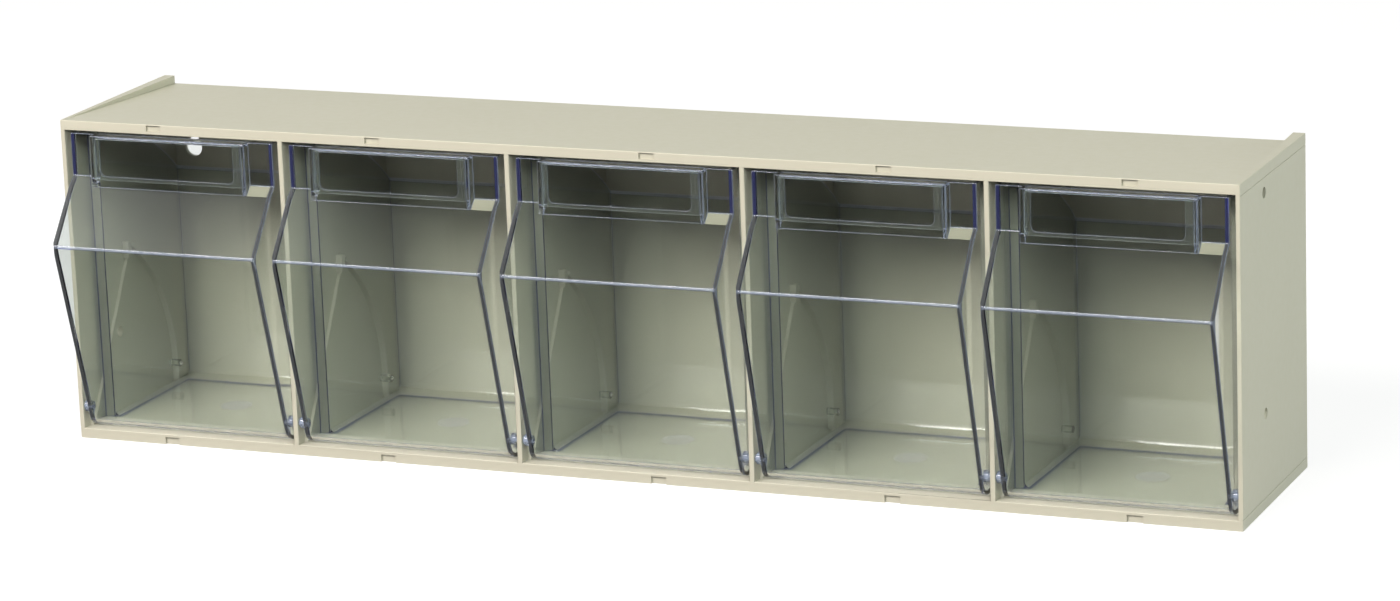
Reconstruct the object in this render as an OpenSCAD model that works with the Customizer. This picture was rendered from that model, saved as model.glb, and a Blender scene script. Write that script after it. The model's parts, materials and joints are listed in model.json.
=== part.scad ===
// Tilt-bin parts cabinet: a moulded housing with five clear bins that tip forward on their own pivots.
// Millimetres, +Z up. The front of the cabinet faces -Y. The origin is at the centre of the base.
// Helper outlines are drawn with y = 0 at the housing's front edge; placed() moves them to the origin.

/* [Housing] */
// Width over the two end walls
cabinet_w = 600; // [480:1:760]
// Height over the front bands
cabinet_h = 162; // [130:1:200]
// Depth of the housing without the bin noses
housing_d = 108.5; // [88:0.5:135]
// Height of the band above and below the openings
band_h = 5; // [4:0.1:7]
// Thickness of an end wall at its front edge
end_wall = 2.2; // [1.8:0.1:3]
// Thickness of the rear wall
rear_wall = 2.2; // [1.6:0.1:3]
// Thickness of the top and bottom panels at the rear
panel_rear = 2.5; // [1.8:0.1:3]
// How far the top and bottom panels sink below the end walls at the rear
panel_sink = 4; // [0:0.1:5]

/* [Dividers] */
// Thickness of a divider at its front edge
divider_front = 2.5; // [2:0.1:3.5]
// Mould draft on each side of a divider and on the end walls, degrees
cell_draft = 2; // [0.5:0.1:2.5]
// Skin left on each side where a divider is cored from the rear
divider_skin = 2.2; // [1.6:0.1:2.5]
// Narrowest part of that core
core_tip = 1; // [0.8:0.1:1.5]

/* [Bins] */
// Wall thickness of a bin
bin_wall = 2; // [1.5:0.1:2.5]
// Gap between a bin's wing and the face of an end cell
side_gap = 3; // [2:0.1:4]
// Gap between the bin's rim and the ceiling at the front
rim_gap = 1.3; // [1:0.1:4]
// Gap between the underside of a bin and the cell floor
floor_gap = 0.5; // [0.3:0.1:1]
// Space behind a bin, to the rear wall
rear_space = 11.9; // [4:0.1:20]
// How far the nose stands out of the housing
nose_reach = 24.7; // [15:0.1:32]
// Height of the nose below the rim
nose_drop = 51.7; // [42:0.5:60]
// Rounding of the nose
nose_r = 1.8; // [1:0.1:3]
// Rounding of the nose's two ends, seen from above
nose_end_r = 2.2; // [1:0.1:5]
// Rounding where the floor turns up, outside
toe_r = 8; // [5:0.5:10]
// How far the toe of the bin lies in front of the pivot
toe_ahead = 0.8; // [0:0.1:2]
// Rounding between floor and side walls, outside
sill_r = 4.5; // [2.2:0.1:6]
// Depth at which the side walls step in, from the front edge
step_y = 15.5; // [12:0.5:25]
// How far a side wall steps in
step_in = 3.8; // [2:0.1:5]
// Depth over which it steps in
step_run = 2.5; // [1:0.1:5]
// Draft of the side walls behind the step, degrees
side_draft = 1.9; // [0:0.1:2.5]
// How much lower the sweep of the rear top edge is than that of the rim
rear_drop = 2.9; // [0:0.1:6]

/* [Label face] */
// Width of the plain strip beside the label face
strip_w = 13.1; // [8:0.1:20]
// Distance of the strips behind the front edge
strip_y = 0.3; // [0.1:0.1:1]
// How far the label face stands in front of the strips
label_proud = 4.8; // [2:0.1:6]
// Height of the label face below the rim
label_h = 25.5; // [20:0.5:32]
// Height of the web that closes the top of the label box
rim_web = 1.5; // [1:0.1:2.5]
// Height of the sloped ledge beside the label face
ledge_h = 4.3; // [1:0.1:6]
// Margin between the label face's side and the label frame
frame_margin = 2; // [0.5:0.1:4]
// Width of the label frame's border
frame_border = 3.7; // [2:0.1:6]
// Height of the label frame's bottom border
frame_foot = 1.8; // [1.5:0.1:5]
// Gap between the top of the label frame and the rim
frame_top_gap = 0.3; // [0.2:0.1:4]
// Gap between the bottom of the label frame and the foot of the label face
frame_low_gap = 4; // [1:0.1:5]
// Space behind the frame's lip, for a label card
card_gap = 0.4; // [0.3:0.05:0.8]
// Thickness of the frame's lip
frame_lip = 0.5; // [0.4:0.05:1]
// Width of the frame's seat on the label face
frame_seat = 1.6; // [1:0.1:2]
// Inner corner radius of the label window
window_r = 3; // [1:0.1:5]

/* [Pivot] */
// Distance of the pivot behind the front edge
pivot_y = 3; // [2.5:0.1:6]
// Height of the pivot
pivot_z = 16; // [15:0.1:25]
// Radius of a pivot pin
pivot_r = 2; // [1.5:0.1:2.4]
// Radial play of a pivot pin in its socket
pivot_play = 0.06; // [0.03:0.01:0.1]
// How far a pin reaches past the face of a middle cell
pivot_bite = 0.95; // [0.6:0.05:0.95]
// Radius of the clear collar round the root of a pin
collar_r = 2.9; // [2.5:0.1:3.5]
// Gap between that collar and the cell face
collar_gap = 0.6; // [0.3:0.1:1.5]
// Radius of the core that is open to the inside of the bin, in a pivot or guide pin
core_r = 1.1; // [0.6:0.05:1.4]
// Plastic left at the tip of a cored pin
core_end = 1.2; // [0.8:0.1:2]

/* [Tilt stop] */
// Angle to which a bin tips forward, degrees
tilt_max = 53; // [30:1:58]
// Radius of a guide pin
guide_r = 1.9; // [1.2:0.05:2.5]
// Distance of the guide pin in front of the bin's rear wall
guide_inset = 7.6; // [4:0.1:12]
// Height of the guide pin above the pivot
guide_rise = 1.6; // [-2:0.1:4]
// Gap between the tip of a guide pin and the cell face
guide_tip_gap = 0.6; // [0.3:0.1:1]
// Height of the curved guide rib and its stop head above the cell face
rib_h = 3.3; // [2:0.1:3.6]
// Thickness of the curved guide rib
rib_t = 2; // [1.2:0.1:3]
// Play between the guide pin and the curved rib outside it
rib_play = 0.8; // [0.3:0.05:1.5]
// Height of the straight stay rib above the cell face
stay_h = 1.6; // [0.8:0.1:2]
// Thickness of the straight stay rib
stay_t = 1.6; // [1:0.1:2.5]
// Slope of the straight stay rib, degrees
stay_slope = 61.3; // [50:0.1:75]
// Distance of the stay rib behind the pivot, at the pivot's height
stay_behind = 8.7; // [7:0.1:14]
// Thickness of the stop head
head_t = 3; // [2:0.1:4]
// Length of the stop head
head_len = 7.9; // [6:0.1:10]
// Distance of the head's lower end below the guide pin's last place
head_below = 0.6; // [0:0.1:2.5]
// Clearance left between guide pin and head at the end of the tilt
stop_play = 0.1; // [0.05:0.05:0.3]

/* [Fixing] */
// Diameter of the joining holes in the end walls
side_hole_d = 5.3; // [4:0.1:7]
// Distance of those holes behind the front edge
side_hole_y = 38.5; // [30:0.5:60]
// Distance of the upper hole below the top
side_hole_top = 12.5; // [9:0.5:20]
// Distance between the two holes of one wall
side_hole_pitch = 104; // [70:1:110]
// Diameter of a keyhole's round part
keyhole_d = 9.5; // [8:0.1:12]
// Width of a keyhole's slot
keyhole_slot = 5.4; // [4:0.1:6]
// Height of a keyhole's slot above the centre of its round part
keyhole_rise = 11; // [8:0.5:16]
// Distance of a keyhole from the cabinet's end
keyhole_x = 16.2; // [13:0.1:40]
// Distance of a keyhole's round part below the top
keyhole_top = 36; // [25:0.5:60]

/* [Band notches] */
// Width of a notch in the front bands
notch_w = 7.7; // [5:0.1:10]
// Height of an upper notch
notch_h = 3; // [2:0.1:4]
// Height of a lower notch, which is open at the bottom
low_notch_h = 3.6; // [2:0.1:4.2]
// Depth of a notch
notch_deep = 1; // [0.5:0.1:2]
// Band left above an upper notch
notch_rim = 0.5; // [0.3:0.1:1]
// Distance of the middle notch from the cabinet's centre
notch_first = 12.1; // [5:0.1:30]
// How much less than the cells' pitch the notches are apart
notch_short = 1.75; // [0:0.05:4]

/* [Side lines] */
// Height of the fine line along an outer side face, from the nearer end
side_line_z = 5.4; // [3:0.1:8]
// Width of that line
side_line_w = 0.4; // [0.2:0.05:0.8]
// Depth of that line
side_line_deep = 0.2; // [0.1:0.05:0.4]

/* [Hidden] */
$fn = 96;
past = 1;             // how far a cutting tool runs past the face that it cuts
nose_room = 0.4;      // how far the bin's plan runs past the nose, clear of its rounding
socket_space = 0.3;   // room left at the tip of a pivot pin in an end wall
arc_steps = 10;       // flats in a rounded corner
sweep_steps = 180;    // flats in a full circle of the long arc along a side wall
rib_past = 2;         // degrees that the guide rib runs past the guide pin's last place
rim_past = 8;         // how far an outline runs past the rim
least_r = 0.1;        // smallest rounding that is drawn
bin_count = 5;

pitch = cabinet_w / bin_count;
half_w = cabinet_w / 2;
front_y = (nose_reach - housing_d) / 2;
rear_face = housing_d - rear_wall;
draft = tan(cell_draft);

// Cells
middle_half = (pitch - divider_front) / 2;
end_half = (pitch - divider_front / 2 - end_wall) / 2;
end_shift = (end_wall - divider_front / 2) / 2;
ceiling_front = cabinet_h - band_h;
ceiling_rear = cabinet_h - panel_sink - panel_rear;
floor_rear = panel_sink + panel_rear;
function floor_at(y) = band_h + (floor_rear - band_h) * y / housing_d;
function cell_centre(i) = -half_w + pitch * (i + 0.5) + (i == 0 ? end_shift : i == bin_count - 1 ? -end_shift : 0);

// Bins
rim_z = ceiling_front - rim_gap;
wing_half = end_half - side_gap;
bin_rear = rear_face - rear_space;
label_y = strip_y - label_proud;
label_foot = rim_z - label_h;
label_half = wing_half - strip_w;
nose_z = rim_z - nose_drop;
toe_y = pivot_y - toe_ahead;
step_half = wing_half - step_in;
step_end = step_y + step_run;
rear_half = step_half - tan(side_draft) * (bin_rear - step_end);

// Top edge of the side walls: level over the pivot, then an arc down to the rear wall
inner_rear = bin_rear - bin_wall;
reach_back = inner_rear - pivot_y;
rear_top = pivot_z + sqrt(pow(rim_z - pivot_z - rear_drop, 2) - pow(reach_back, 2));
top_fall = rim_z - rear_top;
top_arc_r = (pow(reach_back, 2) + pow(top_fall, 2)) / (2 * top_fall);

// Guide pin, its path round the pivot and the stop
guide_y = inner_rear - guide_inset;
guide_path = norm([guide_y - pivot_y, guide_rise]);
guide_start = atan2(guide_rise, guide_y - pivot_y);
guide_tip = end_half - draft * guide_y - guide_tip_gap;
rib_inner = guide_path + guide_r + rib_play;
rib_outer = rib_inner + rib_t;
last_y = pivot_y + guide_path * cos(guide_start + tilt_max);
last_z = pivot_z + guide_path * sin(guide_start + tilt_max);
head_rear = last_y - guide_r - stop_play;
head_foot = last_z - head_below;
rib_end = guide_start + tilt_max + rib_past;

notch_pitch = pitch - notch_short;
notch_places = [-notch_first - 2 * notch_pitch, -notch_first - notch_pitch,
    notch_first, notch_first + notch_pitch, notch_first + 2 * notch_pitch];

housing_colour = [0.83, 0.80, 0.71];
bin_colour = [0.72, 0.78, 0.74, 0.45];
frame_colour = [0.55, 0.60, 0.53];

// Outline helpers. Outlines run anticlockwise, so their inside is on the left.
function unit(v) = v / norm(v);
function left_of(v) = [-v[1], v[0]];
function shifted(a, b, c, w) =
    let (n1 = left_of(unit(b - a)), n2 = left_of(unit(c - b)))
    b + w * (n1 + n2) / (1 + n1 * n2);
function inset(p, w) =
    [for (i = [0 : len(p) - 1]) shifted(p[(i + len(p) - 1) % len(p)], p[i], p[(i + 1) % len(p)], w)];
function turn(a, b, c) = acos(unit(b - a) * unit(c - b));
// An outline whose outer corners become arcs of radius r[i], in arc_steps steps
function rounded(p, r) = [for (i = [0 : len(p) - 1])
    let (a = p[(i + len(p) - 1) % len(p)], b = p[i], c = p[(i + 1) % len(p)],
         centre = shifted(a, b, c, r[i]), along = unit(b - a),
         start = atan2(-along[0], along[1]), sweep = turn(a, b, c))
    each (r[i] > 0
        ? [for (k = [0 : arc_steps]) let (t = start + sweep * k / arc_steps) centre + r[i] * [cos(t), sin(t)]]
        : [b])];

// Turns an outline in (y, z) into a solid of width w about x = 0
module across(w) rotate([90, 0, 90]) linear_extrude(height = w, center = true) children();
// Turns a plan outline in (x, y) into a solid as tall as the cabinet
module upright() linear_extrude(height = cabinet_h) children();
// A round bar along x from x0 to x1
module bar_x(r, x0, x1, y, z) translate([x0, y, z]) rotate([0, 90, 0]) cylinder(r = r, h = x1 - x0);
// A round bar along y from y0 to y1
module bar_y(r, y0, y1, x, z) translate([x, y0, z]) rotate([-90, 0, 0]) cylinder(r = r, h = y1 - y0);
module placed() translate([0, front_y, 0]) children();

// Housing outlines in side view
module top_outline() polygon([[0, ceiling_front], [housing_d, ceiling_rear],
    [housing_d, cabinet_h - panel_sink], [0, cabinet_h]]);
module bottom_outline() polygon([[0, 0], [housing_d, panel_sink], [housing_d, floor_rear], [0, band_h]]);
module inside_outline(y1) intersection() {
    polygon([[0, band_h], [housing_d, floor_rear], [housing_d, ceiling_rear], [0, ceiling_front]]);
    square([y1, cabinet_h]);
}

// The curved rib that the guide pin runs along, with the head that stops it
module guide_outline() {
    intersection() {
        translate([pivot_y, pivot_z]) difference() {
            circle(rib_outer);
            circle(rib_inner);
        }
        translate([pivot_y, pivot_z]) polygon([[0, 0], [2 * guide_path, -pivot_z], [2 * guide_path, pivot_z],
            2 * guide_path * [cos(rib_end), sin(rib_end)]]);
        inside_outline(rear_face);
    }
    translate([head_rear - head_t, head_foot]) square([head_t, head_len]);
}
module stay_outline() intersection() {
    translate([pivot_y + stay_behind, pivot_z]) rotate(stay_slope)
        translate([-pivot_z, -stay_t]) square([2 * guide_path, stay_t]);
    inside_outline(rear_face);
    square([housing_d, head_foot + stay_t]);
}

// Plan of a divider, widened by extra on each side
module divider_plan(extra) {
    front = divider_front / 2 + extra;
    rear = front + draft * rear_face;
    polygon([[-front, 0], [front, 0], [rear, rear_face], [-rear, rear_face]]);
}

// Plan of the hollow that runs up a divider and out through the rear wall
module core_plan() {
    tip_y = (core_tip / 2 + divider_skin - divider_front / 2) / draft;
    rear = divider_front / 2 + draft * rear_face - divider_skin;
    polygon([[-core_tip / 2, tip_y], [core_tip / 2, tip_y], [rear, rear_face],
        [rear, housing_d + past], [-rear, housing_d + past], [-rear, rear_face]]);
}

module divider(i) color(housing_colour) placed() translate([pitch * (i - bin_count / 2), 0, 0])
    difference() {
        union() {
            intersection() {
                upright() divider_plan(0);
                across(pitch) inside_outline(rear_face);
            }
            intersection() {
                upright() divider_plan(rib_h);
                across(pitch) guide_outline();
            }
            intersection() {
                upright() divider_plan(stay_h);
                across(pitch) stay_outline();
            }
        }
        upright() core_plan();
        bar_x(pivot_r + pivot_play, -pitch / 2, pitch / 2, pivot_y, pivot_z);
    }

// Plan of the left end wall, its inner face moved inwards by extra
module end_wall_plan(extra) {
    front = end_wall + extra;
    rear = front + draft * housing_d;
    polygon([[-half_w, 0], [-half_w + front, 0], [-half_w + rear, housing_d], [-half_w, housing_d]]);
}

module left_end() difference() {
    union() {
        upright() end_wall_plan(0);
        intersection() {
            upright() end_wall_plan(rib_h);
            across(2 * cabinet_w) guide_outline();
        }
        intersection() {
            upright() end_wall_plan(stay_h);
            across(2 * cabinet_w) stay_outline();
        }
    }
    socket_floor = cell_centre(0) - middle_half - pivot_bite - socket_space;
    bar_x(pivot_r + pivot_play, socket_floor, -half_w + pitch / 2, pivot_y, pivot_z);
    for (z = [cabinet_h - side_hole_top, cabinet_h - side_hole_top - side_hole_pitch])
        bar_x(side_hole_d / 2, -half_w - past, -half_w + pitch / 2, side_hole_y, z);
}

module keyhole() {
    z = cabinet_h - keyhole_top;
    x = -half_w + keyhole_x;
    bar_y(keyhole_d / 2, rear_face - past, housing_d + past, x, z);
    bar_y(keyhole_slot / 2, rear_face - past, housing_d + past, x, z + keyhole_rise - keyhole_slot / 2);
    translate([x - keyhole_slot / 2, rear_face - past, z])
        cube([keyhole_slot, rear_wall + 2 * past, keyhole_rise - keyhole_slot / 2]);
}

module housing_shell() color(housing_colour) placed() difference() {
    union() {
        across(cabinet_w) {
            top_outline();
            bottom_outline();
            intersection() {
                inside_outline(housing_d);
                translate([rear_face, 0]) square([rear_wall, cabinet_h]);
            }
        }
        left_end();
        mirror([1, 0, 0]) left_end();
    }
    for (i = [1 : bin_count - 1]) intersection() {
        translate([pitch * (i - bin_count / 2), 0, 0]) upright() core_plan();
        across(cabinet_w) translate([rear_face, 0]) intersection() {
            translate([-rear_face, 0]) inside_outline(housing_d);
            square([rear_wall + past, cabinet_h]);
        }
    }
    keyhole();
    mirror([1, 0, 0]) keyhole();
    for (z = [side_line_z, cabinet_h - side_line_z], x = [-half_w, half_w])
        translate([x - side_line_deep, -past, z - side_line_w / 2])
            cube([2 * side_line_deep, housing_d + 2 * past, side_line_w]);
    for (x = notch_places) {
        translate([x - notch_w / 2, -past, cabinet_h - notch_rim - notch_h])
            cube([notch_w, notch_deep + past, notch_h]);
        translate([x - notch_w / 2, -past, -past]) cube([notch_w, notch_deep + past, low_notch_h + past]);
    }
}

// Bin outlines in side view, open upwards: the full one with the label face, and the one beside it
bin_floor_front = [toe_y, floor_at(toe_y) + floor_gap];
bin_floor_rear = [bin_rear, floor_at(bin_rear) + floor_gap];
floor_slope = atan2(floor_rear - band_h, housing_d);
sill_z = floor_at(step_end) + floor_gap;
hood_slope = atan2(label_foot - nose_z, nose_reach + label_y);
panel_slope = atan2(nose_z - bin_floor_front[1], nose_reach + toe_y);
nose_loss = nose_r * (cos((hood_slope - panel_slope) / 2) / sin((hood_slope + panel_slope) / 2) - 1);
nose_point = [-nose_reach - nose_loss, nose_z];
over = rim_z + rim_past;
label_side = [bin_floor_front, bin_floor_rear, [bin_rear, over], [label_y, over],
    [label_y, label_foot], nose_point];
label_side_r = [toe_r, toe_r, 0, 0, 0, nose_r];
strip_side = [bin_floor_front, bin_floor_rear, [bin_rear, over], [strip_y, over],
    [strip_y, label_foot + ledge_h], [label_y, label_foot], nose_point];
strip_side_r = [toe_r, toe_r, 0, 0, 0, 0, nose_r];
plan_front = -nose_reach - nose_room;
bin_plan = [[-wing_half, plan_front], [wing_half, plan_front], [wing_half, step_y], [step_half, step_end],
    [rear_half, bin_rear], [-rear_half, bin_rear], [-step_half, step_end], [-wing_half, step_y]];
bin_plan_r = [nose_end_r, nose_end_r, 0, 0, 0, 0, 0, 0];

function thinner(r) = [for (v = r) max(v - bin_wall, 0)];

module bin_top_outline() {
    translate([-nose_reach - past, 0]) square([nose_reach + past + pivot_y, rim_z]);
    translate([pivot_y, rim_z - top_arc_r]) circle(top_arc_r, $fn = sweep_steps);
}

// What a rounding of radius r takes from the lower corner of the right side wall, whose face lies inset by w
module sill_corner(r, w) translate([step_half - w / cos(side_draft), step_end, sill_z + w / cos(floor_slope)])
    rotate([floor_slope, 0, side_draft]) rotate([-90, 0, 0])
        linear_extrude(height = housing_d) difference() {
            translate([-r, -r]) square(r + past);
            translate([-r, -r]) circle(r);
        }

module bin_outside() difference() {
    intersection() {
        upright() polygon(rounded(bin_plan, bin_plan_r));
        union() {
            across(2 * wing_half) polygon(rounded(strip_side, strip_side_r));
            across(2 * label_half) polygon(rounded(label_side, label_side_r));
        }
        across(2 * wing_half) bin_top_outline();
    }
    sill_corner(sill_r, 0);
    mirror([1, 0, 0]) sill_corner(sill_r, 0);
}

module bin_inside() difference() {
    intersection() {
        linear_extrude(height = cabinet_h + past) polygon(rounded(inset(bin_plan, bin_wall), thinner(bin_plan_r)));
        union() {
            across(2 * wing_half) polygon(rounded(inset(strip_side, bin_wall), thinner(strip_side_r)));
            across(2 * (label_half - bin_wall)) intersection() {
                polygon(rounded(inset(label_side, bin_wall), thinner(label_side_r)));
                translate([-nose_reach, 0]) square([nose_reach + bin_rear, rim_z - rim_web]);
            }
        }
    }
    sill_corner(sill_r - bin_wall, bin_wall);
    mirror([1, 0, 0]) sill_corner(sill_r - bin_wall, bin_wall);
}

guide_root = step_half - tan(side_draft) * (guide_y - step_end);
pivot_tip = middle_half + pivot_bite;

module right_pins() {
    bar_x(pivot_r, wing_half - bin_wall / 2, pivot_tip, pivot_y, pivot_z);
    bar_x(collar_r, wing_half - bin_wall / 2, end_half - collar_gap, pivot_y, pivot_z);
    bar_x(guide_r, guide_root - bin_wall / 2, guide_tip, guide_y, pivot_z + guide_rise);
}

module right_cores() {
    bar_x(core_r, wing_half - bin_wall - past, pivot_tip - core_end, pivot_y, pivot_z);
    bar_x(core_r, guide_root - bin_wall - past, guide_tip - core_end, guide_y, pivot_z + guide_rise);
}

module bin(i) color(bin_colour) placed() translate([cell_centre(i - 1), 0, 0]) difference() {
    union() {
        difference() {
            bin_outside();
            bin_inside();
        }
        right_pins();
        mirror([1, 0, 0]) right_pins();
    }
    right_cores();
    mirror([1, 0, 0]) right_cores();
}

// U-shaped frame of the label, drawn in (x, z)
module frame_outline(border, foot) {
    w = label_half - frame_margin;
    z0 = label_foot + frame_low_gap;
    z1 = rim_z - frame_top_gap;
    r = max(window_r - frame_border + border, least_r);
    difference() {
        translate([-w, z0]) square([2 * w, z1 - z0]);
        translate([-w + border, z0 + foot + r]) square([2 * (w - border), z1]);
        translate([-w + border + r, z0 + foot]) square([2 * (w - border - r), z1]);
        for (s = [-1, 1]) translate([s * (w - border - r), z0 + foot + r]) circle(r);
    }
}

module label_frame(i) color(frame_colour) placed() translate([cell_centre(i - 1), label_y, 0])
    rotate([90, 0, 0]) {
        linear_extrude(height = card_gap) frame_outline(frame_seat, frame_seat);
        translate([0, 0, card_gap]) linear_extrude(height = frame_lip) frame_outline(frame_border, frame_foot);
    }

module divider_1() divider(1);
module divider_2() divider(2);
module divider_3() divider(3);
module divider_4() divider(4);
module bin_1() bin(1);
module bin_2() bin(2);
module bin_3() bin(3);
module bin_4() bin(4);
module bin_5() bin(5);
module label_frame_1() label_frame(1);
module label_frame_2() label_frame(2);
module label_frame_3() label_frame(3);
module label_frame_4() label_frame(4);
module label_frame_5() label_frame(5);

housing_shell();
divider_1();
divider_2();
divider_3();
divider_4();
bin_1();
bin_2();
bin_3();
bin_4();
bin_5();
label_frame_1();
label_frame_2();
label_frame_3();
label_frame_4();
label_frame_5();
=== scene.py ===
"""Looks of the tilt-bin parts cabinet: one putty-coloured housing with five clear bins.
Everything is in metres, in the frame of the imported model. The front of the cabinet faces -Y."""
import json
import math

import bmesh
import bpy
from mathutils import Matrix, Vector

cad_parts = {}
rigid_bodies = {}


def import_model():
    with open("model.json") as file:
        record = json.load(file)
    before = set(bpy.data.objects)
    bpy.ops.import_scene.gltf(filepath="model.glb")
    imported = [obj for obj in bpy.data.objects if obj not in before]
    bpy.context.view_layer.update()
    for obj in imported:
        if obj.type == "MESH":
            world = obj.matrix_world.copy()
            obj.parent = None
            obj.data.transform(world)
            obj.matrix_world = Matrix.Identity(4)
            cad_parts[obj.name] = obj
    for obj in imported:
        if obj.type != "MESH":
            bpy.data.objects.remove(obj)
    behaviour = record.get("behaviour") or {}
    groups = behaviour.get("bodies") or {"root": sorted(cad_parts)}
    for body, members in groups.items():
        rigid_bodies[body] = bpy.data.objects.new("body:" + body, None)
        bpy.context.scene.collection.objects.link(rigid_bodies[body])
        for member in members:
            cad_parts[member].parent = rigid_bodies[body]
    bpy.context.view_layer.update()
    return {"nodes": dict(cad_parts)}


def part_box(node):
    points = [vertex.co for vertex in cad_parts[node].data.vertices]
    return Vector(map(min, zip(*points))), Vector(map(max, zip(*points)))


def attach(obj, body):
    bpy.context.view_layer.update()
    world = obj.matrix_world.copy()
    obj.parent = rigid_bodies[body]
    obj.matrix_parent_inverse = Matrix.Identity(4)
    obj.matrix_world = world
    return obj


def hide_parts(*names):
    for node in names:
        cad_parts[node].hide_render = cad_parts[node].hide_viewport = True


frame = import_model()
scene = bpy.context.scene
MM = 0.001
COUNT = 5
BINS = [f"bin_{i}" for i in range(1, COUNT + 1)]
DIVIDERS = [f"divider_{i}" for i in range(1, COUNT)]
LABEL_FRAMES = [f"label_frame_{i}" for i in range(1, COUNT + 1)]

# Camera: it stands to the right of the cabinet and above it, and is rolled a little
CAMERA_AT = Vector((0.927, -2.170, 0.682))
CAMERA_TURN = math.radians(-22.70)
CAMERA_DIP = math.radians(-14.35)
CAMERA_ROLL = math.radians(-2.11)
LENS = 130.45

# Places on the cabinet
FRONT = -41.9 * MM            # plane of the housing's front bands
HALF_WIDTH = 300 * MM
PITCH = 120 * MM
REAR_WALL = 64.4 * MM         # inner face of the rear wall
NOTCH = (7.7 * MM, 3.6 * MM)  # width and height of the largest notch in a band
WING_HALF = 55.275 * MM       # half the width of a bin at its wings
STEP_HALF = 51.4 * MM         # half its width behind the step in its walls
STRIP_FOOT = 133 * MM         # height where the strips beside the label begin
LEDGE = 132.35 * MM           # middle of the sloped ledge below those strips
LABEL_HALF = 42 * MM          # half the width of the label face
BIN_WALL = 2 * MM
PIVOT = (3 * MM, 16 * MM)     # behind the front plane, and up
GUIDE = (75.9 * MM, 17.6 * MM)
NOSE = (-66.6 * MM, 104 * MM)  # front end of a bin, in the model's frame
PIN_ROOM = 3.6 * MM           # nothing is rounded this near to a pin


def camera_matrix():
    forward = Vector((math.cos(CAMERA_DIP) * math.sin(CAMERA_TURN),
                      math.cos(CAMERA_DIP) * math.cos(CAMERA_TURN), math.sin(CAMERA_DIP)))
    level = Vector((math.cos(CAMERA_TURN), -math.sin(CAMERA_TURN), 0))
    upright = level.cross(forward)
    right = math.cos(CAMERA_ROLL) * level + math.sin(CAMERA_ROLL) * upright
    up = math.cos(CAMERA_ROLL) * upright - math.sin(CAMERA_ROLL) * level
    turn = Matrix((right, up, -forward)).transposed().to_4x4()
    return Matrix.Translation(CAMERA_AT) @ turn


def make_camera():
    data = bpy.data.cameras.new("camera")
    data.lens = LENS
    data.sensor_width = 36
    data.clip_end = 50
    camera = bpy.data.objects.new("camera", data)
    camera.matrix_world = camera_matrix()
    scene.collection.objects.link(camera)
    scene.camera = camera


# Materials
def new_material(name):
    material = bpy.data.materials.new(name)
    material.use_nodes = True
    nodes = material.node_tree.nodes
    nodes.clear()
    return material, nodes, material.node_tree.links


def object_coordinates(nodes):
    return nodes.new("ShaderNodeTexCoord").outputs["Object"]


def noise(nodes, links, where, size, detail=2.0):
    """A noise pattern whose features are about size metres."""
    texture = nodes.new("ShaderNodeTexNoise")
    texture.inputs["Scale"].default_value = 1 / size
    texture.inputs["Detail"].default_value = detail
    links.new(where, texture.inputs["Vector"])
    return texture.outputs["Fac"]


def spread(nodes, links, value, low, high, start=0.3, end=0.7):
    """Maps a pattern that runs from start to end to the range from low to high."""
    node = nodes.new("ShaderNodeMapRange")
    node.inputs["From Min"].default_value = start
    node.inputs["From Max"].default_value = end
    node.inputs["To Min"].default_value = low
    node.inputs["To Max"].default_value = high
    links.new(value, node.inputs["Value"])
    return node.outputs["Result"]


def reckon(nodes, links, operation, first, second=None):
    """A Math node. Each of its two values is a number or another node's output."""
    node = nodes.new("ShaderNodeMath")
    node.operation = operation
    for socket, value in zip(node.inputs, (first, second)):
        if value is None:
            continue
        if isinstance(value, (int, float)):
            socket.default_value = value
        else:
            links.new(value, socket)
    return node.outputs[0]


def mixed_colour(nodes, links, share, first, second):
    node = nodes.new("ShaderNodeMix")
    node.data_type = "RGBA"
    node.inputs["A"].default_value = (*first, 1)
    node.inputs["B"].default_value = (*second, 1)
    links.new(share, node.inputs["Factor"])
    return node.outputs["Result"]


def grain(nodes, links, shader, where, size, height):
    """A fine uneven surface, height metres deep."""
    bump = nodes.new("ShaderNodeBump")
    bump.inputs["Strength"].default_value = 1
    bump.inputs["Distance"].default_value = height
    links.new(noise(nodes, links, where, size), bump.inputs["Height"])
    links.new(bump.outputs["Normal"], shader.inputs["Normal"])


def housing_plastic():
    """Satin moulded plastic, putty coloured, with a fine matt grain."""
    material, nodes, links = new_material("housing_plastic")
    shader = nodes.new("ShaderNodeBsdfPrincipled")
    output = nodes.new("ShaderNodeOutputMaterial")
    links.new(shader.outputs["BSDF"], output.inputs["Surface"])
    where = object_coordinates(nodes)
    mottle = noise(nodes, links, where, 0.05, 3)
    links.new(mixed_colour(nodes, links, mottle, (0.665, 0.652, 0.500), (0.695, 0.682, 0.530)),
              shader.inputs["Base Color"])
    links.new(spread(nodes, links, noise(nodes, links, where, 0.004), 0.42, 0.52), shader.inputs["Roughness"])
    grain(nodes, links, shader, where, 0.0006, 0.000006)
    return material


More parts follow.
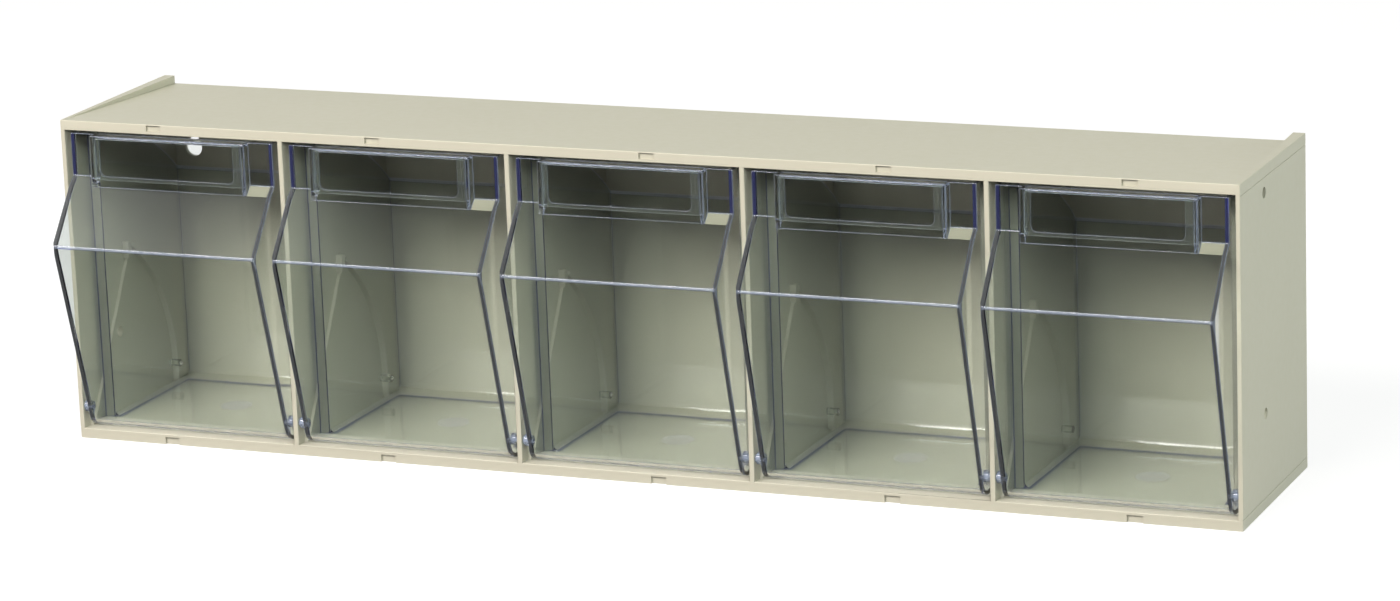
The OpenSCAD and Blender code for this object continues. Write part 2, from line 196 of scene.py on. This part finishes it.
def gate_ring(nodes, links, where):
    """1 on the hazy disc round the moulding gate in the middle of each bin's floor, 0 elsewhere."""
    parts = nodes.new("ShaderNodeSeparateXYZ")
    links.new(where, parts.inputs[0])
    wrap = nodes.new("ShaderNodeMath")
    wrap.operation = "WRAP"
    wrap.inputs[1].default_value = PITCH / 2
    wrap.inputs[2].default_value = -PITCH / 2
    links.new(parts.outputs["X"], wrap.inputs[0])
    across = reckon(nodes, links, "ADD", wrap.outputs[0], -0.002)
    along = reckon(nodes, links, "ADD", parts.outputs["Y"], -0.008)
    square = reckon(nodes, links, "ADD", reckon(nodes, links, "MULTIPLY", across, across),
                    reckon(nodes, links, "MULTIPLY", along, along))
    distance = reckon(nodes, links, "SQRT", square)
    disc = spread(nodes, links, distance, 1, 0, 0.0075, 0.0088)
    low = reckon(nodes, links, "LESS_THAN", parts.outputs["Z"], 0.012)
    return reckon(nodes, links, "MULTIPLY", disc, low)


ABSORB = ((0.0, 0.083, 0.80), 10)   # colour and density of the absorption in the clear plastic


def clear_plastic(name, tint, clouded=(0.01, 0.03), gate=False, haze_and_painted_light=0.0, haze_and_painted_light_colour=(0.8, 0.85, 0.8),
                  shade=(0.945, 0.96, 0.94)):
    """Clear moulded plastic that bends light. A share of its surface scatters as a matt colour: on the gate's disc that
    is real haze, elsewhere it is painted light or shade. Lamps shine through every surface and keep the share that
    shade gives."""
    material, nodes, links = new_material(name)
    shader = nodes.new("ShaderNodeBsdfPrincipled")
    shader.inputs["Base Color"].default_value = (*tint, 1)
    shader.inputs["Transmission Weight"].default_value = 1
    shader.inputs["IOR"].default_value = 1.575
    where = object_coordinates(nodes)
    rough = spread(nodes, links, noise(nodes, links, where, 0.03), *clouded)
    if gate:
        haze = gate_ring(nodes, links, where)
        rough = reckon(nodes, links, "ADD", rough, reckon(nodes, links, "MULTIPLY", haze, 0.08))
    links.new(rough, shader.inputs["Roughness"])
    grain(nodes, links, shader, where, 0.02, 0.00003)
    surface = shader.outputs["BSDF"]
    # matt share: real haze on the gate's disc; on edges, rim, ledge, step and floor bends it is painted light or shade
    if haze_and_painted_light or gate:
        matt = nodes.new("ShaderNodeBsdfDiffuse")
        matt.inputs["Color"].default_value = (*haze_and_painted_light_colour, 1)
        part = nodes.new("ShaderNodeMixShader")
        part.inputs["Fac"].default_value = haze_and_painted_light
        if gate:
            links.new(reckon(nodes, links, "MULTIPLY", haze, 0.12), part.inputs["Fac"])
        links.new(surface, part.inputs[1])
        links.new(matt.outputs["BSDF"], part.inputs[2])
        surface = part.outputs["Shader"]
    open_shader = nodes.new("ShaderNodeBsdfTransparent")
    open_shader.inputs["Color"].default_value = (*shade, 1)
    path = nodes.new("ShaderNodeLightPath")
    both = nodes.new("ShaderNodeMixShader")
    output = nodes.new("ShaderNodeOutputMaterial")
    links.new(path.outputs["Is Shadow Ray"], both.inputs["Fac"])
    links.new(surface, both.inputs[1])
    links.new(open_shader.outputs["BSDF"], both.inputs[2])
    links.new(both.outputs["Shader"], output.inputs["Surface"])
    volume = nodes.new("ShaderNodeVolumeAbsorption")
    volume.inputs["Color"].default_value = (*ABSORB[0], 1)
    volume.inputs["Density"].default_value = ABSORB[1]
    links.new(volume.outputs["Volume"], output.inputs["Volume"])
    return material


# Pieces
def merged(node):
    """A node's loose triangles as one closed mesh."""
    mesh = bmesh.new()
    mesh.from_mesh(frame["nodes"][node].data)
    bmesh.ops.remove_doubles(mesh, verts=mesh.verts, dist=0.002 * MM)
    return mesh


def is_corner(edge, shortest):
    return edge.is_manifold and edge.calc_length() > shortest and edge.calc_face_angle(0) > math.radians(25)


def round_edges(mesh, edges, radius, steps):
    made = bmesh.ops.bevel(mesh, geom=edges, offset=radius, offset_type="OFFSET", segments=steps, profile=0.5,
                           affect="EDGES", clamp_overlap=False, loop_slide=True)
    return made["faces"]


def corner_normals(mesh):
    """A normal for each corner of each face: the mean over the faces round it that bend only a little from it."""
    bend = math.cos(math.radians(50))
    area = {face: face.calc_area() for face in mesh.faces}
    normals = []
    for face in mesh.faces:
        for vertex in face.verts:
            total = face.normal * 1e-12
            for other in vertex.link_faces:
                if other.normal.dot(face.normal) > bend:
                    total += other.normal * area[other]
            normals.append(total.normalized())
    return normals


def finished(name, mesh, materials):
    """An object with even shading: flat faces stay flat and rounded edges shade round."""
    mesh.normal_update()
    for face in mesh.faces:
        face.smooth = True
    normals = corner_normals(mesh)
    data = bpy.data.meshes.new(name)
    mesh.to_mesh(data)
    mesh.free()
    for material in materials:
        data.materials.append(material)
    data.normals_split_custom_set(normals)
    obj = bpy.data.objects.new(name, data)
    scene.collection.objects.link(obj)
    return obj


def plain_object(name, mesh, collection):
    data = bpy.data.meshes.new(name)
    mesh.to_mesh(data)
    mesh.free()
    obj = bpy.data.objects.new(name, data)
    collection.objects.link(obj)
    return obj


def evaluated(obj):
    """The shape of an object after its modifiers, as editable mesh data."""
    graph = bpy.context.evaluated_depsgraph_get()
    mesh = bmesh.new()
    mesh.from_mesh(bpy.data.meshes.new_from_object(obj.evaluated_get(graph), depsgraph=graph))
    return mesh


def sunk_divider(node):
    """A divider whose ends run a little way into the shell, so that the two join as one moulding."""
    mesh = merged(node)
    sink = 0.3 * MM
    for vertex in mesh.verts:
        place = vertex.co
        if place.z > 0.150 and place.z > 0.15688 - 0.0137 * (place.y - FRONT):
            place.z += sink
        if place.z < 0.0068:
            place.z -= sink
        if place.y > REAR_WALL - 0.1 * MM:
            place.y += sink
    return mesh


def is_front_or_end_edge(edge):
    """True for the long edges of the front plane and of the two ends, but not for notches and fine lines."""
    if not is_corner(edge, 0.45 * MM) or not edge.is_convex:
        return False
    a, b = (vertex.co for vertex in edge.verts)
    wide, high = abs(a.x - b.x), abs(a.z - b.z)
    on_line = any(5.1 * MM < p.z < 5.7 * MM or 156.3 * MM < p.z < 156.9 * MM for p in (a, b))
    if on_line and abs(a.y - b.y) > 10 * MM:
        return False
    if max(a.z, b.z) < 0.1 * MM:
        return False
    if max(a.y, b.y) < FRONT + 0.01 * MM:
        notch_side = 1 * MM < high < NOTCH[1] + 0.1 * MM
        notch_width = NOTCH[0] - 2 * MM < wide < NOTCH[0] + 1 * MM
        return not (notch_side or notch_width)
    return min(abs(a.x), abs(b.x)) > HALF_WIDTH - 0.05 * MM


def make_housing(material):
    """Shell and dividers as one moulding with rounded front edges."""
    inner = bpy.data.collections.new("dividers")
    scene.collection.children.link(inner)
    for node in DIVIDERS:
        plain_object(f"{node}_sunk", sunk_divider(node), inner)
    shell = plain_object("shell_rough", merged("housing_shell"), scene.collection)
    join = shell.modifiers.new("join", "BOOLEAN")
    join.operation = "UNION"
    join.operand_type = "COLLECTION"
    join.collection = inner
    join.solver = "EXACT"
    whole = evaluated(shell)
    for obj in [shell, *inner.objects]:
        bpy.data.objects.remove(obj)
    bpy.data.collections.remove(inner)
    bmesh.ops.remove_doubles(whole, verts=whole.verts, dist=0.02 * MM)
    bmesh.ops.dissolve_degenerate(whole, dist=0.01 * MM, edges=whole.edges)
    round_edges(whole, [edge for edge in whole.edges if is_front_or_end_edge(edge)], 0.4 * MM, 3)
    housing = finished("housing", whole, [material])
    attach(housing, "root")
    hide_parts("housing_shell", *DIVIDERS)


def near_pin(place, centre):
    y, z = place.y - FRONT, place.z
    for pin in (PIVOT, GUIDE):
        if math.hypot(y - pin[0], z - pin[1]) < PIN_ROOM and abs(place.x - centre) > WING_HALF - 10 * MM:
            return True
    return False


def remove_slivers(mesh):
    """Takes out hair-thin faces that stand between two faces of one plane."""
    seams = set()
    for face in mesh.faces:
        sides = sorted(face.edges, key=lambda edge: -edge.calc_length())[:2]
        if face.calc_area() > 0.005 * MM * sides[0].calc_length() or sides[1].calc_length() < 5 * MM:
            continue
        beside = [other for edge in sides for other in edge.link_faces if other is not face]
        if len(beside) == 2 and beside[0].normal.angle(beside[1].normal, 0) < math.radians(0.5):
            seams.update(sides)
    bmesh.ops.dissolve_edges(mesh, edges=list(seams), use_verts=False)


def make_bin(index, plastics):
    """A clear bin with rounded edges. Its wall ends, where one looks along the plastic, and its rounded edges, rim,
    ledge, step and floor bends get painted light and shade as matt colours.
    """
    node = BINS[index]
    low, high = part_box(node)
    centre = (low[0] + high[0]) / 2
    mesh = merged(node)
    mesh.normal_update()
    remove_slivers(mesh)
    bmesh.ops.dissolve_limit(mesh, angle_limit=math.radians(0.3), use_dissolve_boundaries=False,
                             verts=mesh.verts, edges=mesh.edges)
    corners = [edge for edge in mesh.edges if is_corner(edge, 0.9 * MM)
               and not any(near_pin(vertex.co, centre) for vertex in edge.verts)]
    rounded = set(round_edges(mesh, corners, 0.3 * MM, 2))
    # Every rounded edge first gets the pale matt colour of a painted highlight.
    for face in rounded:
        face.material_index = 3
    for side in (-1, 1):
        bmesh.ops.bisect_plane(mesh, geom=[*mesh.verts, *mesh.edges, *mesh.faces], dist=0.001 * MM,
                               plane_co=(centre + side * (WING_HALF - BIN_WALL), 0, 0), plane_no=(1, 0, 0))
    mesh.normal_update()
    for face in mesh.faces:
        middle = face.calc_center_median()
        off = abs(middle.x - centre)
        faces_front = face.normal.y < -0.3
        if face.material_index == 3:
            # Rounded edges of the rear rim: painted light.
            if middle.y > FRONT + 4 * MM and middle.z > STRIP_FOOT - 20 * MM and face.normal.z > 0.3:
                face.material_index = 5
            # Rounded edges at the wall step: painted dark blue lines.
            if off > STEP_HALF - BIN_WALL - 0.5 * MM and FRONT + 8 * MM < middle.y < FRONT + 25 * MM:
                face.material_index = 2
            continue
        # Faces round the pins: a painted highlight.
        if near_pin(middle, centre):
            face.material_index = 3
        # Gentle bends of the floor: painted dark lines.
        elif middle.z < 12 * MM and 0.97 < abs(face.normal.z) < 0.9985:
            face.material_index = 6
        # The nose bead: a painted highlight.
        elif middle.y < NOSE[0] + 1.6 * MM and abs(middle.z - NOSE[1]) < 2 * MM:
            face.material_index = 3
        # Sloped ledge below the strips: a painted bright patch.
        elif LABEL_HALF < middle.x - centre < WING_HALF - BIN_WALL and abs(middle.z - LEDGE) < 1.5 * MM \
                and abs(face.normal.z - 0.74) < 0.03 and face.normal.y < -0.6:
            face.material_index = 7
        # Front ends of the walls, where one looks along the plastic: painted dark navy shade beside the label, painted
        # light below.
        elif faces_front and off > WING_HALF - BIN_WALL and middle.y < FRONT + 2 * MM:
            face.material_index = 2 if middle.z > STRIP_FOOT else 1
        # Riser faces of the wall step: painted shade.
        elif faces_front and off > STEP_HALF - BIN_WALL and FRONT + 8 * MM < middle.y < FRONT + 25 * MM:
            face.material_index = 4
        # Top faces of the rear rim: painted light.
        elif face.normal.z > 0.7 and middle.y > FRONT + 4 * MM and middle.z > STRIP_FOOT - 20 * MM:
            face.material_index = 5
    piece = finished(f"clear_{node}", mesh, plastics)
    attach(piece, f"{node}_body")
    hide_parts(node)


def outline_mesh(name, points):
    """A closed outline. Each point is (x, y, corner radius)."""
    mesh = bpy.data.meshes.new(name)
    count = len(points)
    mesh.from_pydata([(x, y, 0) for x, y, _ in points], [(k, (k + 1) % count) for k in range(count)], [])
    radii = mesh.attributes.new("corner", "FLOAT", "POINT")
    for k, point in enumerate(points):
        radii.data[k].value = point[2]
    return mesh


def plate_tree():
    """Turns an outline into an upright plate of even thickness with rounded corners."""
    tree = bpy.data.node_groups.new("plate_from_outline", "GeometryNodeTree")
    sides = tree.interface
    sides.new_socket("Outline", in_out="INPUT", socket_type="NodeSocketGeometry")
    for name in ("Thickness", "Height Above Base"):
        sides.new_socket(name, in_out="INPUT", socket_type="NodeSocketFloat")
    sides.new_socket("Place", in_out="INPUT", socket_type="NodeSocketVector")
    sides.new_socket("Material", in_out="INPUT", socket_type="NodeSocketMaterial")
    sides.new_socket("Plate", in_out="OUTPUT", socket_type="NodeSocketGeometry")
    nodes, links = tree.nodes, tree.links
    given = nodes.new("NodeGroupInput")
    result = nodes.new("NodeGroupOutput")
    curve = nodes.new("GeometryNodeMeshToCurve")
    links.new(given.outputs["Outline"], curve.inputs["Mesh"])
    radius = nodes.new("GeometryNodeInputNamedAttribute")
    radius.data_type = "FLOAT"
    radius.inputs["Name"].default_value = "corner"
    fillet = nodes.new("GeometryNodeFilletCurve")
    fillet.mode = "POLY"
    fillet.inputs["Count"].default_value = 6
    links.new(curve.outputs["Curve"], fillet.inputs["Curve"])
    links.new(radius.outputs["Attribute"], fillet.inputs["Radius"])
    fill = nodes.new("GeometryNodeFillCurve")
    fill.mode = "NGONS"
    links.new(fillet.outputs["Curve"], fill.inputs["Curve"])
    grow = nodes.new("GeometryNodeExtrudeMesh")
    grow.mode = "FACES"
    grow.inputs["Individual"].default_value = False
    links.new(fill.outputs["Mesh"], grow.inputs["Mesh"])
    links.new(given.outputs["Thickness"], grow.inputs["Offset Scale"])
    back = nodes.new("GeometryNodeFlipFaces")
    links.new(fill.outputs["Mesh"], back.inputs["Mesh"])
    both = nodes.new("GeometryNodeJoinGeometry")
    links.new(back.outputs["Mesh"], both.inputs["Geometry"])
    links.new(grow.outputs["Mesh"], both.inputs["Geometry"])
    closed = nodes.new("GeometryNodeMergeByDistance")
    closed.inputs["Distance"].default_value = 0.001 * MM
    links.new(both.outputs["Geometry"], closed.inputs["Geometry"])
    lift = nodes.new("ShaderNodeCombineXYZ")
    links.new(given.outputs["Height Above Base"], lift.inputs["Z"])
    off = nodes.new("GeometryNodeTransform")
    links.new(closed.outputs["Geometry"], off.inputs["Geometry"])
    links.new(lift.outputs["Vector"], off.inputs["Translation"])
    stand = nodes.new("GeometryNodeTransform")
    stand.inputs["Rotation"].default_value = (math.radians(90), 0, 0)
    links.new(off.outputs["Geometry"], stand.inputs["Geometry"])
    links.new(given.outputs["Place"], stand.inputs["Translation"])
    real = nodes.new("GeometryNodeRealizeInstances")
    links.new(stand.outputs["Geometry"], real.inputs["Geometry"])
    paint = nodes.new("GeometryNodeSetMaterial")
    links.new(real.outputs["Geometry"], paint.inputs["Geometry"])
    links.new(given.outputs["Material"], paint.inputs["Material"])
    links.new(paint.outputs["Geometry"], result.inputs["Plate"])
    return tree


def plate(tree, name, points, thickness, base, place, material):
    """One upright plate made by the tree."""
    obj = bpy.data.objects.new(name, outline_mesh(name, points))
    scene.collection.objects.link(obj)
    modifier = obj.modifiers.new("plate", "NODES")
    modifier.node_group = tree
    values = {"Thickness": thickness, "Height Above Base": base, "Place": place, "Material": material}
    for item in tree.interface.items_tree:
        if item.in_out == "INPUT" and item.name in values:
            modifier[item.identifier] = values[item.name]
    return obj


def make_label_frame(index, tree, material, edge_highlight_material):
    """A U-shaped label frame: a thin lip on a narrower seat, with room for a card behind the lip."""
    node = LABEL_FRAMES[index]
    low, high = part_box(node)
    centre, half = (low[0] + high[0]) / 2, (high[0] - low[0]) / 2
    bottom, top = low[2], high[2]
    border, foot, seat, lip, window = 3.7 * MM, 1.8 * MM, 1.6 * MM, 0.5 * MM, 3 * MM
    thick = high[1] - low[1]
    clear_of_face = 0.02 * MM

    def outline(side, base, inner_corner):
        return [(-half, top, 0.3 * MM), (-half, bottom, 0.3 * MM), (half, bottom, 0.3 * MM), (half, top, 0.3 * MM),
                (half - side, top, 0.3 * MM), (half - side, bottom + base, inner_corner),
                (-half + side, bottom + base, inner_corner), (-half + side, top, 0.3 * MM)]

    place = (centre, high[1] - clear_of_face, 0)
    front = plate(tree, f"{node}_lip", outline(border, foot, window), lip, thick - lip - clear_of_face, place, material)
    back = plate(tree, f"{node}_seat", outline(seat, seat, 0.9 * MM), thick - lip, 0, place, material)
    join = front.modifiers.new("join", "BOOLEAN")
    join.operation = "UNION"
    join.object = back
    join.solver = "EXACT"
    mesh = evaluated(front)
    bpy.data.objects.remove(front)
    bpy.data.objects.remove(back)
    for face in mesh.faces:
        face.material_index = 0
    outer = [edge for edge in mesh.edges if is_corner(edge, 0.3 * MM) and edge.is_convex]
    # Rounded frame edges: a painted highlight.
    for face in round_edges(mesh, outer, 0.18 * MM, 2):
        face.material_index = 1
    piece = finished(f"clear_{node}", mesh, [material, edge_highlight_material])
    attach(piece, f"{BINS[index]}_body")
    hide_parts(node)


# Stage
def seen_straight(nodes, links):
    """1 for what the camera sees, also in gloss and through clear plastic, and 0 for light that falls on the object."""
    path = nodes.new("ShaderNodeLightPath")
    bent = reckon(nodes, links, "MAXIMUM", path.outputs["Is Glossy Ray"], path.outputs["Is Transmission Ray"])
    seen = reckon(nodes, links, "MAXIMUM", path.outputs["Is Camera Ray"], bent)
    first = reckon(nodes, links, "LESS_THAN", path.outputs["Diffuse Depth"], 0.5)
    return reckon(nodes, links, "MULTIPLY", seen, first), bent


def make_world():
    """White where it is seen, darker overhead in gloss, and dim as a light."""
    world = bpy.data.worlds.new("studio")
    world.use_nodes = True
    scene.world = world
    nodes, links = world.node_tree.nodes, world.node_tree.links
    nodes.clear()
    seen, bent = seen_straight(nodes, links)
    direction = nodes.new("ShaderNodeTexCoord").outputs["Generated"]
    parts = nodes.new("ShaderNodeSeparateXYZ")
    links.new(direction, parts.inputs[0])
    overhead = spread(nodes, links, parts.outputs["Z"], 0, 0.88, 0.35, 0.6)
    not_left = spread(nodes, links, parts.outputs["X"], 0, 1, -0.50, -0.42)
    dark = reckon(nodes, links, "MULTIPLY", reckon(nodes, links, "MULTIPLY", overhead, not_left), bent)
    white_level = reckon(nodes, links, "SUBTRACT", 1, dark)
    lit = nodes.new("ShaderNodeBackground")
    lit.inputs["Color"].default_value = (1, 1, 1, 1)
    lit.inputs["Strength"].default_value = 0.06
    white = nodes.new("ShaderNodeBackground")
    white.inputs["Color"].default_value = (1, 1, 1, 1)
    links.new(white_level, white.inputs["Strength"])
    both = nodes.new("ShaderNodeMixShader")
    links.new(seen, both.inputs["Fac"])
    links.new(lit.outputs[0], both.inputs[1])
    links.new(white.outputs[0], both.inputs[2])
    output = nodes.new("ShaderNodeOutputWorld")
    links.new(both.outputs[0], output.inputs["Surface"])


def flat_piece(name, x0, x1, y0, y1, z, material):
    mesh = bpy.data.meshes.new(name)
    mesh.from_pydata([(x0, y0, z), (x1, y0, z), (x1, y1, z), (x0, y1, z)], [], [(0, 1, 2, 3)])
    mesh.materials.append(material)
    obj = bpy.data.objects.new(name, mesh)
    scene.collection.objects.link(obj)
    return obj


def make_floor():
    material, nodes, links = new_material("floor_paint")
    seen, _ = seen_straight(nodes, links)
    matt = nodes.new("ShaderNodeBsdfDiffuse")
    matt.inputs["Color"].default_value = (0.32, 0.32, 0.31, 1)
    glow = nodes.new("ShaderNodeEmission")
    glow.inputs["Color"].default_value = (1, 1, 1, 1)
    links.new(reckon(nodes, links, "MULTIPLY", seen, 0.85), glow.inputs["Strength"])
    both = nodes.new("ShaderNodeAddShader")
    links.new(matt.outputs[0], both.inputs[0])
    links.new(glow.outputs[0], both.inputs[1])
    output = nodes.new("ShaderNodeOutputMaterial")
    links.new(both.outputs[0], output.inputs["Surface"])
    flat_piece("floor", -12, 12, -12, 12, 0, material)


def make_dark_card():
    """A black card in front of the cabinet, as in a photo studio. Only gloss and clear plastic show it."""
    material, nodes, links = new_material("black_card")
    matt = nodes.new("ShaderNodeBsdfDiffuse")
    matt.inputs["Color"].default_value = (0.02, 0.02, 0.02, 1)
    output = nodes.new("ShaderNodeOutputMaterial")
    links.new(matt.outputs[0], output.inputs["Surface"])
    card = flat_piece("black_card", -1.9, 1.3, -2.6, -0.045, 0.5 * MM, material)
    for ray in ("camera", "diffuse", "shadow", "volume_scatter"):
        setattr(card, f"visible_{ray}", False)


def add_lamp(name, at, towards, size, watts, colour=(1, 1, 1)):
    data = bpy.data.lights.new(name, "AREA")
    data.shape = "RECTANGLE"
    data.size, data.size_y = size
    data.energy = watts
    data.color = colour
    lamp = bpy.data.objects.new(name, data)
    lamp.location = at
    lamp.rotation_mode = "QUATERNION"
    lamp.rotation_quaternion = (Vector(towards) - Vector(at)).to_track_quat("-Z", "Y")
    scene.collection.objects.link(lamp)


def make_lamps():
    add_lamp("key_lamp", (-0.9, -2.3, 2.0), (0, 0, 0.05), (2.4, 1.0), 102, (1, 0.92, 0.935))
    add_lamp("top_lamp", (-0.2, 0.5, 2.2), (0, 0, 0.1), (1.6, 1.2), 3, (0.6, 1, 0.7))
    add_lamp("front_side_lamp", (2.3, -1.8, 1.8), (0, 0, 0.05), (2.2, 1.4), 39, (0.95, 1, 0.985))
    add_lamp("side_lamp", (2.2, 0.3, 0.4), (0.3, 0, 0.02), (0.8, 0.6), 8.5, (0.93, 1, 0.985))


make_camera()
make_world()
make_floor()
make_dark_card()
make_lamps()
scene.view_settings.view_transform = "Standard"
scene.cycles.max_bounces = 24
scene.cycles.diffuse_bounces = 1
scene.cycles.transmission_bounces = 24
scene.cycles.transparent_max_bounces = 24

make_housing(housing_plastic())
bin_plastic = clear_plastic("clear_plastic", (0.885, 0.91, 0.885), gate=True, haze_and_painted_light_colour=(0.78, 0.80, 0.80))
# Lower wall ends: a pale matt colour, painted light so that they don't render black.
wall_end_painted_light = clear_plastic("wall_end_painted_light", (0.88, 0.93, 1.0), (0.03, 0.08), haze_and_painted_light=0.12, haze_and_painted_light_colour=(0.62, 0.68, 0.70))
# Wall ends beside the label and edges at the step: a dark navy matt colour, painted shade.
strip_end_painted_shade = clear_plastic("strip_end_painted_shade", (0.50, 0.54, 0.90), (0.03, 0.08), haze_and_painted_light=0.32, haze_and_painted_light_colour=(0.09, 0.105, 0.29))
# Rounded edges, pins and the nose bead: a pale matt colour, a painted highlight.
edge_highlight_plastic = clear_plastic("rounded_edge_painted_highlight", (0.92, 0.96, 1.0), (0.02, 0.05), haze_and_painted_light=0.32, haze_and_painted_light_colour=(0.54, 0.64, 0.78), shade=(1, 1, 1))
# Riser of the wall step: a dim olive matt colour, the painted shade of the wall behind.
step_painted_shade = clear_plastic("wall_step_painted_shade", (0.95, 0.96, 0.92), (0.03, 0.08), haze_and_painted_light=0.5, haze_and_painted_light_colour=(0.40, 0.43, 0.33))
# Rear rim: a near-white matt colour, painted light as if it caught light from above.
rim_highlight_plastic = clear_plastic("rear_rim_painted_light", (0.92, 0.96, 1.0), (0.05, 0.1), haze_and_painted_light=0.9, haze_and_painted_light_colour=(0.95, 0.97, 0.97), shade=(1, 1, 1))
# Bends of the floor: a dark blue matt colour, painted dark lines where the curve bends light.
bend_painted_shade = clear_plastic("floor_bend_painted_shade", (0.75, 0.80, 1.0), (0.03, 0.08), haze_and_painted_light=0.30, haze_and_painted_light_colour=(0.22, 0.26, 0.52))
# Sloped ledge below the strips: a painted bright patch.
ledge_painted_highlight = clear_plastic("ledge_painted_highlight", (0.95, 0.95, 0.90), (0.05, 0.1), haze_and_painted_light=0.55, haze_and_painted_light_colour=(0.60, 0.63, 0.46))
frame_plastic = clear_plastic("label_frame_plastic", (0.93, 1.0, 0.93), (0.03, 0.06), haze_and_painted_light=0.02)
plastics = [bin_plastic, wall_end_painted_light, strip_end_painted_shade, edge_highlight_plastic, step_painted_shade, rim_highlight_plastic,
            bend_painted_shade, ledge_painted_highlight]
frame_tree = plate_tree()
for index in range(COUNT):
    make_bin(index, plastics)
    make_label_frame(index, frame_tree, frame_plastic, edge_highlight_plastic)
